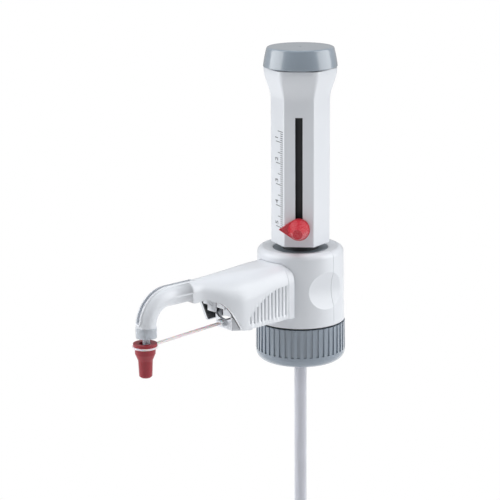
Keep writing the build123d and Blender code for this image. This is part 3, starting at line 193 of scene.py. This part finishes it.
# ---------------------------------------------------------------- material tools
def add_node(tree, kind, values=None, links=None, **settings):
    """Adds a node, sets its fields and socket values, and links its inputs from (node, output) pairs."""
    node = tree.nodes.new(kind)
    for field, value in settings.items():
        setattr(node, field, value)
    for socket, value in (values or {}).items():
        node.inputs[socket].default_value = value
    for socket, (source, output) in (links or {}).items():
        tree.links.new(source.outputs[output], node.inputs[socket])
    return node


def per_mm(size):
    """Scale of a pattern on Object coordinates whose features are this many millimetres apart."""
    return 1000.0 / size


def new_material(name):
    material = bpy.data.materials.new(name)
    material.use_nodes = True
    tree = material.node_tree
    tree.nodes.clear()
    shader = add_node(tree, "ShaderNodeBsdfPrincipled")
    add_node(tree, "ShaderNodeOutputMaterial", links={"Surface": (shader, "BSDF")})
    return material, tree, shader


def moulded(name, base, grain, depth, roughness, sheen_spread=0.06, mottle=0.03, **shader_values):
    """Moulded plastic: the tool's fine grain as bump, with cloudy shifts of tone and gloss."""
    material, tree, shader = new_material(name)
    place = add_node(tree, "ShaderNodeTexCoord")
    grain_noise = add_node(
        tree, "ShaderNodeTexNoise", {"Scale": per_mm(grain), "Detail": 3.0, "Roughness": 0.55},
        {"Vector": (place, "Object")},
    )
    cloud = add_node(
        tree, "ShaderNodeTexNoise", {"Scale": per_mm(14.0), "Detail": 2.0}, {"Vector": (place, "Object")}
    )
    tone = add_node(
        tree, "ShaderNodeMix", {"A": base, "B": tuple(c * (1 - mottle) for c in base[:3]) + (1.0,)},
        {"Factor": (cloud, "Fac")}, data_type="RGBA",
    )
    gloss = add_node(
        tree, "ShaderNodeMapRange",
        {"To Min": roughness - sheen_spread, "To Max": roughness + sheen_spread},
        {"Value": (grain_noise, "Fac")},
    )
    bump = add_node(
        tree, "ShaderNodeBump", {"Strength": 0.35, "Distance": depth * MM}, {"Height": (grain_noise, "Fac")}
    )
    tree.links.new(tone.outputs["Result"], shader.inputs["Base Color"])
    tree.links.new(gloss.outputs["Result"], shader.inputs["Roughness"])
    tree.links.new(bump.outputs["Normal"], shader.inputs["Normal"])
    for socket, value in shader_values.items():
        shader.inputs[socket.replace("_", " ")].default_value = value
    return material


def dress(material, *nodes):
    for name in nodes:
        piece = frame["nodes"][name]
        piece.data.materials.clear()
        piece.data.materials.append(material)


# ---------------------------------------------------------------- mesh tools
def finish_piece(name, bm, material, body, slot, smooth=True, *stands_for):
    """Turns a bmesh into a piece that rides on a body."""
    bmesh.ops.recalc_face_normals(bm, faces=bm.faces)
    mesh = bpy.data.meshes.new(name)
    bm.to_mesh(mesh)
    bm.free()
    piece = bpy.data.objects.new(name, mesh)
    bpy.context.scene.collection.objects.link(piece)
    for face in mesh.polygons:
        face.use_smooth = smooth
    mesh.materials.append(material)
    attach(piece, body)
    if stands_for:
        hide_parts(*stands_for)
    return piece


def face_frame(angle, distance):
    """Places flat work on a face of the sleeve: X across it, Y up, Z outwards."""
    out = Vector((math.cos(angle), math.sin(angle), 0))
    across = Vector((-math.sin(angle), math.cos(angle), 0))
    up = Vector((0, 0, 1))
    turn = Matrix((across, up, out)).transposed().to_4x4()
    return Matrix.Translation(out * distance) @ turn


def thread(bm, profile, axis_place, pitch, turns, steps=64):
    """Winds a closed profile, drawn in the XZ plane, up an axis."""
    corners = [bm.verts.new(axis_place @ Vector((radius, 0, rise))) for radius, rise in profile]
    outline = bm.faces.new(corners)
    axis = axis_place.to_3x3() @ Vector((0, 0, 1))
    centre = axis_place.to_translation()
    whole = int(steps * turns)
    bmesh.ops.spin(
        bm, geom=[outline, *outline.edges, *outline.verts], cent=centre, axis=axis,
        dvec=axis * (pitch / steps), angle=FULL_TURN * turns, steps=whole, use_merge=False,
    )


# ---------------------------------------------------------------- finishes
class DISPENSER_OT_moulded_plastics(bpy.types.Operator):
    """Gives the housing, arm, handle, ring and cap their moulded plastics"""

    bl_idname = "dispenser.moulded_plastics"
    bl_label = "Moulded plastics"

    def execute(self, context):
        tones = context.scene.dispenser_colours
        # ABS from a finely spark-eroded tool: an even pale grey with a soft, wide highlight
        abs_pale = moulded("abs_moulded_pale", tuple(tones.housing), 0.5, 0.02, 0.36, IOR=1.53,
                           Coat_Weight=0.5, Coat_Roughness=0.22)
        dress(abs_pale, "front_housing", "rear_cover", "handle_sleeve", "arm_plate", "spout_housing",
              "strap_bracket")
        # Polypropylene: slightly waxy, so its gloss is broader than the housing's
        ring = moulded("polypropylene_blue_grey", tuple(tones.ring), 0.5, 0.02, 0.3, IOR=1.6,
                       Coat_Weight=1.0, Coat_Roughness=0.12)
        dress(ring, "screw_ring")
        cap = moulded("polypropylene_cap", tuple(tones.cap), 0.5, 0.02, 0.3, IOR=1.6,
                      Coat_Weight=1.0, Coat_Roughness=0.14)
        dress(cap, "top_cap")
        # Glass filled polypropylene: near black and dull from the fibre in its skin. On the arm_liner, the
        # sheet inside the arm, the same near black is painted shade: it darkens the arm's hollow where
        # shade falls.
        dark = moulded("black_plastic_and_painted_shade", tuple(tones.dark), 0.6, 0.03, 0.5, IOR=1.49)
        dress(dark, "valve_block", "guide_tube", "stop_collar", "rod_bush", "clamp_nut", "vent_cap",
              "arm_liner")
        collar = moulded("polypropylene_dark_grey", tuple(tones.collar), 0.6, 0.03, 0.45, IOR=1.49)
        dress(collar, "cylinder_nut")
        # Polybutylene terephthalate in red, moulded glossy so that it catches the lamps
        pointer = moulded("pbt_red_pointer", tuple(tones.pointer), 0.8, 0.01, 0.28, IOR=1.55)
        dress(pointer, "volume_pointer", "thumb_screw")
        closure = moulded("polypropylene_red_closure", tuple(tones.closure), 0.6, 0.02, 0.36, IOR=1.49)
        dress(closure, "closure_cap")
        # Nitrile rubber, moulded matt
        seal = moulded("nitrile_rubber_black", tuple(tones.seal), 0.4, 0.03, 0.7, IOR=1.52)
        dress(seal, "neck_seal", "cylinder_seal", "piston_seal")
        # Low density polyethylene: soft and milky, light bleeds through its edges
        strap = moulded("polyethylene_soft_strap", tuple(tones.strap), 0.6, 0.02, 0.42, IOR=1.5,
                        Subsurface_Weight=0.4, Subsurface_Scale=0.002)
        dress(strap, "closure_strap")
        return {"FINISHED"}


class DISPENSER_OT_fluid_parts(bpy.types.Operator):
    """Gives the tubes, valves, glass and metal their finishes"""

    bl_idname = "dispenser.fluid_parts"
    bl_label = "Fluid parts"

    def execute(self, context):
        tones = context.scene.dispenser_colours
        # PTFE, turned: chalk white with a waxy depth
        ptfe = moulded("ptfe_turned", colour("#EDEDEA"), 0.3, 0.02, 0.5, IOR=1.35,
                       Subsurface_Weight=0.3, Subsurface_Scale=0.001)
        dress(ptfe, "piston", "filling_valve_body", "filling_nipple", "discharge_valve_body")
        # FEP tube, extruded: milky, with fine draw lines along it
        tube = moulded("fep_extruded_tube", tuple(tones.tube), 0.8, 0.01, 0.3, IOR=1.34,
                       Transmission_Weight=0.35)
        dress(tube, "filling_tube", "lower_filling_tube", "discharge_tube")
        # Polypropylene left natural: frosted and see-through
        frost = moulded("polypropylene_natural_frosted", colour("#DDE3EA"), 0.7, 0.02, 0.42, IOR=1.49,
                        Transmission_Weight=0.45)
        dress(frost, "nozzle_collar")
        # Borosilicate glass, precision bore: clear with a bright edge
        glass = moulded("borosilicate_glass", colour("#F4FAFA"), 3.0, 0.002, 0.06, 0.02, 0.0, IOR=1.47,
                        Transmission_Weight=1.0)
        dress(glass, "glass_cylinder")
        # Stainless steel, turned: fine rings round the axis
        steel = moulded("stainless_steel_turned", colour("#B9BCBF"), 0.25, 0.01, 0.28, Metallic=1.0)
        dress(steel, "piston_rod", "rod_nut", "clamp_screw", "strap_pin", "outlet_spring")
        # Aluminium oxide ceramic, ground and polished
        ceramic = moulded("alumina_polished", colour("#E9E4D8"), 0.5, 0.003, 0.12, IOR=1.76)
        dress(ceramic, "inlet_ball", "outlet_ball")
        return {"FINISHED"}


# ---------------------------------------------------------------- fine parts
class DISPENSER_OT_volume_scale(bpy.types.Operator):
    """Prints the scale of tenths of a millilitre and its digits on the handle"""

    bl_idname = "dispenser.volume_scale"
    bl_label = "Volume scale"

    def execute(self, context):
        sizes = context.scene.dispenser_sizes
        tones = context.scene.dispenser_colours
        # Pad printing ink: a thin dull film
        ink = moulded("pad_printing_ink", tuple(tones.ink), 0.6, 0.01, 0.6)
        place = face_frame(SCALE_FACE_ANGLE, SLEEVE_FACE)
        step = POINTER_TRAVEL / (LAST_TENTH - FIRST_TENTH)
        ticks = bmesh.new()
        for tenths in range(FIRST_TENTH, LAST_TENTH + 1):
            span = sizes.tick_short
            if tenths % 5 == 0:
                span = sizes.tick_middle
            if tenths % 10 == 0:
                span = sizes.tick_long
            height = POINTER_HEIGHT + (LAST_TENTH - tenths) * step
            spot = Matrix.Translation((sizes.tick_right - span / 2, height, sizes.ink_height / 2))
            size = Matrix.Diagonal((span, sizes.tick_line, sizes.ink_height, 1))
            bmesh.ops.create_cube(ticks, size=1, matrix=place @ spot @ size)
        finish_piece("scale_lines", ticks, ink, "plunger", "dark_plastic", False)
        for digit in ("1", "2", "3", "4", "5"):
            height = POINTER_HEIGHT + (LAST_TENTH - 10 * int(digit)) * step + DIGIT_LIFT
            spot = place @ Matrix.Translation((sizes.digit_base, height, 0))
            self.print_text("scale_digit_" + digit, digit, spot, sizes, ink)
        return {"FINISHED"}

    def print_text(self, name, words, spot, sizes, ink):
        """Sets words that read up the sleeve, as a thin printed mesh."""
        text = bpy.data.curves.new(name + "_curve", "FONT")
        text.body = words
        text.size = sizes.digit_height / DIGIT_SHARE
        text.extrude = sizes.ink_height
        source = bpy.data.objects.new(name + "_source", text)
        bpy.context.scene.collection.objects.link(source)
        bpy.context.view_layer.update()
        graph = bpy.context.evaluated_depsgraph_get()
        mesh = bpy.data.meshes.new_from_object(source.evaluated_get(graph))
        bpy.data.objects.remove(source)
        mesh.transform(spot @ Matrix.Rotation(math.pi / 2, 4, "Z"))
        mesh.name = name
        mesh.materials.clear()
        mesh.materials.append(ink)
        piece = bpy.data.objects.new(name, mesh)
        bpy.context.scene.collection.objects.link(piece)
        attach(piece, "plunger")


class DISPENSER_OT_arm_shell(bpy.types.Operator):
    """Closes the arm's roof smoothly over the webs that hold the discharge tube"""

    bl_idname = "dispenser.arm_shell"
    bl_label = "Arm shell"

    def execute(self, context):
        source = frame["nodes"]["spout_housing"]
        bm = bmesh.new()
        bm.from_mesh(source.data)
        bmesh.ops.remove_doubles(bm, verts=bm.verts, dist=WELD_GAP)
        for web_x, arch_flat, arch_radius in WEB_ARCHES:
            for side in (1, -1):
                self.trim_web(bm, web_x, side, arch_flat, arch_radius)
        material = source.data.materials[0]
        piece = finish_piece("arm_shell", bm, material, "head", "light_plastic", True, "spout_housing")
        piece.data.set_sharp_from_angle(angle=SHARP_EDGE)
        return {"FINISHED"}

    def trim_web(self, bm, web_x, side, arch_flat, arch_radius):
        """Takes off what stands above the arch on one web, and fills the roof across it."""

        def on_top(vert):
            x, y, z = (axis / MM for axis in vert.co)
            if abs(x - web_x) > WEB_HALF or not WEB_INNER < side * y < WEB_OUTER:
                return False
            fall = arch_radius - math.sqrt(arch_radius ** 2 - (side * y - arch_flat) ** 2)
            return z > ARM_TOP - fall - WEB_SINK

        proud = [face for face in bm.faces if all(on_top(vert) for vert in face.verts)]
        rim = {edge for face in proud for edge in face.edges}
        bmesh.ops.delete(bm, geom=proud, context="FACES")
        rim = [edge for edge in rim if edge.is_valid and len(edge.link_faces) == 1]
        filled = bmesh.ops.holes_fill(bm, edges=rim, sides=0)["faces"]
        bmesh.ops.triangulate(bm, faces=filled)


class DISPENSER_OT_neck_thread(bpy.types.Operator):
    """Winds the neck thread inside the screw ring"""

    bl_idname = "dispenser.neck_thread"
    bl_label = "Neck thread"

    def execute(self, context):
        sizes = context.scene.dispenser_sizes
        root = sizes.neck_root
        crest = sizes.neck_crest
        profile = (
            (root, -NECK_ROOT_HALF), (crest, -NECK_CREST_HALF),
            (crest, NECK_CREST_HALF), (root, NECK_ROOT_HALF),
        )
        bm = bmesh.new()
        thread(bm, profile, Matrix.Translation((0, 0, NECK_START_Z)), sizes.neck_pitch, NECK_TURNS)
        material = frame["nodes"]["screw_ring"].data.materials[0]
        finish_piece("neck_thread", bm, material, "mount_ring", "blue_grey_plastic")
        return {"FINISHED"}


class DISPENSER_OT_outlet_spring(bpy.types.Operator):
    """Coils the outlet valve's spring as one fixed coil; the real spring shortens as the ball lifts"""

    bl_idname = "dispenser.outlet_spring"
    bl_label = "Outlet spring"

    def execute(self, context):
        sizes = context.scene.dispenser_sizes
        low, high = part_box("outlet_spring")
        centre_z = (low.z + high.z) / 2
        wire = sizes.spring_wire
        radius = (high.z - low.z) / 2 - wire
        span = high.x - low.x - 2 * wire
        bm = bmesh.new()
        start = Vector((high.x - wire, 0, centre_z + radius))
        bmesh.ops.create_circle(
            bm, cap_ends=True, segments=8, radius=wire,
            matrix=Matrix.Translation(start) @ Matrix.Rotation(math.pi / 2, 4, "X"),
        )
        bmesh.ops.spin(
            bm, geom=[*bm.faces, *bm.edges, *bm.verts], cent=(high.x, 0, centre_z), axis=(-1, 0, 0),
            dvec=(-span / (SPRING_STEPS * SPRING_TURNS), 0, 0), angle=FULL_TURN * SPRING_TURNS,
            steps=int(SPRING_STEPS * SPRING_TURNS), use_merge=False,
        )
        material = frame["nodes"]["outlet_spring"].data.materials[0]
        piece = finish_piece("outlet_spring_coil", bm, material, "head", "steel", True, "outlet_spring")
        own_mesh(piece)
        return {"FINISHED"}


# ---------------------------------------------------------------- stage
class DISPENSER_OT_stage(bpy.types.Operator):
    """Sets the white floor, the soft lamps and the camera"""

    bl_idname = "dispenser.stage"
    bl_label = "Stage"

    def execute(self, context):
        scene = context.scene
        scene.view_settings.view_transform = "Standard"
        self.set_floor(scene)
        self.set_world(scene)
        middle = Vector(STAGE_MIDDLE)
        # Two tall soft boxes beside the camera, with a dim gap between them, and a fill overhead
        for name, angle, reach, rise, size, power in LAMPS:
            turn = math.radians(angle)
            place = middle + Vector((reach * math.cos(turn), reach * math.sin(turn), rise))
            lamp = self.add_lamp(name, middle, place, size, power)
            # Mirrored, the fill would glare on the flat tops
            lamp.visible_glossy = name != "lamp_top"
        self.set_camera(scene)
        return {"FINISHED"}

    def set_floor(self, scene):
        bm = bmesh.new()
        bmesh.ops.create_grid(bm, x_segments=1, y_segments=1, size=FLOOR_REACH)
        bmesh.ops.translate(bm, verts=bm.verts, vec=(0, 0, CAD_BOX[0].z - FLOOR_GAP))
        mesh = bpy.data.meshes.new("floor")
        bm.to_mesh(mesh)
        bm.free()
        floor = bpy.data.objects.new("floor", mesh)
        scene.collection.objects.link(floor)
        material = bpy.data.materials.new("white_paper_floor")
        material.use_nodes = True
        tree = material.node_tree
        tree.nodes.clear()
        # White paper that the camera sees evenly lit, so that no shade ends the white behind the part
        rays = add_node(tree, "ShaderNodeLightPath")
        paper = add_node(
            tree, "ShaderNodeBsdfDiffuse", {"Color": tuple(scene.dispenser_colours.floor), "Roughness": 0.9}
        )
        lit = add_node(tree, "ShaderNodeEmission", {"Color": (1, 1, 1, 1), "Strength": 1.0})
        seen = add_node(
            tree, "ShaderNodeMixShader", links={"Fac": (rays, "Is Camera Ray"), 1: (paper, 0), 2: (lit, 0)}
        )
        add_node(tree, "ShaderNodeOutputMaterial", links={"Surface": (seen, 0)})
        mesh.materials.append(material)

    def set_world(self, scene):
        world = bpy.data.worlds.new("studio")
        scene.world = world
        world.use_nodes = True
        tree = world.node_tree
        tree.nodes.clear()
        # A white surround that is seen and mirrored, over a dimmer one that lights the part
        rays = add_node(tree, "ShaderNodeLightPath")
        seen = add_node(
            tree, "ShaderNodeMath", links={0: (rays, "Is Camera Ray"), 1: (rays, "Is Transmission Ray")},
            operation="MAXIMUM",
        )
        room = add_node(
            tree, "ShaderNodeBackground", {"Color": (0.95, 0.97, 1, 1), "Strength": ROOM_LIGHT}
        )
        mirrored = add_node(
            tree, "ShaderNodeBackground", {"Color": (1, 1, 1, 1), "Strength": MIRRORED_LIGHT}
        )
        white = add_node(tree, "ShaderNodeBackground", {"Color": (1, 1, 1, 1), "Strength": 1.0})
        lights = add_node(
            tree, "ShaderNodeMixShader",
            links={"Fac": (rays, "Is Glossy Ray"), 1: (room, 0), 2: (mirrored, 0)},
        )
        mixed = add_node(
            tree, "ShaderNodeMixShader", links={"Fac": (seen, "Value"), 1: (lights, 0), 2: (white, 0)}
        )
        add_node(tree, "ShaderNodeOutputWorld", links={"Surface": (mixed, 0)})

    def add_lamp(self, name, target, place, size, power):
        data = bpy.data.lights.new(name, "AREA")
        data.shape = "RECTANGLE"
        data.size, data.size_y = size
        data.energy = power
        lamp = bpy.data.objects.new(name, data)
        bpy.context.scene.collection.objects.link(lamp)
        lamp.location = place
        lamp.rotation_mode = "QUATERNION"
        lamp.rotation_quaternion = (target - place).to_track_quat("-Z", "Y")
        return lamp

    def set_camera(self, scene):
        data = bpy.data.cameras.new("camera")
        camera = bpy.data.objects.new("camera", data)
        scene.collection.objects.link(camera)
        data.sensor_width = 36
        data.lens = CAMERA_LENS
        data.clip_start, data.clip_end = 0.05, 20
        data.shift_x = CAMERA_SHIFT
        camera.location = CAMERA_PLACE
        camera.rotation_mode = "QUATERNION"
        roll = Quaternion((0, 0, 1), math.radians(CAMERA_ROLL))
        camera.rotation_quaternion = Vector(CAMERA_LOOK).to_track_quat("-Z", "Y") @ roll
        scene.camera = camera


# ---------------------------------------------------------------- panel and registration
class DISPENSER_PT_panel(bpy.types.Panel):
    """Lists the steps and the settings in the sidebar"""

    bl_idname = "DISPENSER_PT_panel"
    bl_label = "Bottle top dispenser"
    bl_space_type = "VIEW_3D"
    bl_region_type = "UI"
    bl_category = "Dispenser"

    def draw(self, context):
        for step in STEPS:
            self.layout.operator(step.bl_idname)
        for settings in (context.scene.dispenser_sizes, context.scene.dispenser_colours):
            box = self.layout.box()
            for field in settings.__annotations__:
                box.prop(settings, field)


STEPS = (
    DISPENSER_OT_moulded_plastics,
    DISPENSER_OT_fluid_parts,
    DISPENSER_OT_volume_scale,
    DISPENSER_OT_arm_shell,
    DISPENSER_OT_neck_thread,
    DISPENSER_OT_outlet_spring,
    DISPENSER_OT_stage,
)
CLASSES = (DispenserSizes, DispenserColours, *STEPS, DISPENSER_PT_panel)


def register():
    for item in CLASSES:
        bpy.utils.register_class(item)
    bpy.types.Scene.dispenser_sizes = bpy.props.PointerProperty(type=DispenserSizes)
    bpy.types.Scene.dispenser_colours = bpy.props.PointerProperty(type=DispenserColours)


def unregister():
    del bpy.types.Scene.dispenser_colours
    del bpy.types.Scene.dispenser_sizes
    for item in reversed(CLASSES):
        bpy.utils.unregister_class(item)


def main():
    register()
    for step in STEPS:
        group, call = step.bl_idname.split(".")
        getattr(getattr(bpy.ops, group), call)()


if __name__ == "__main__":
    main()
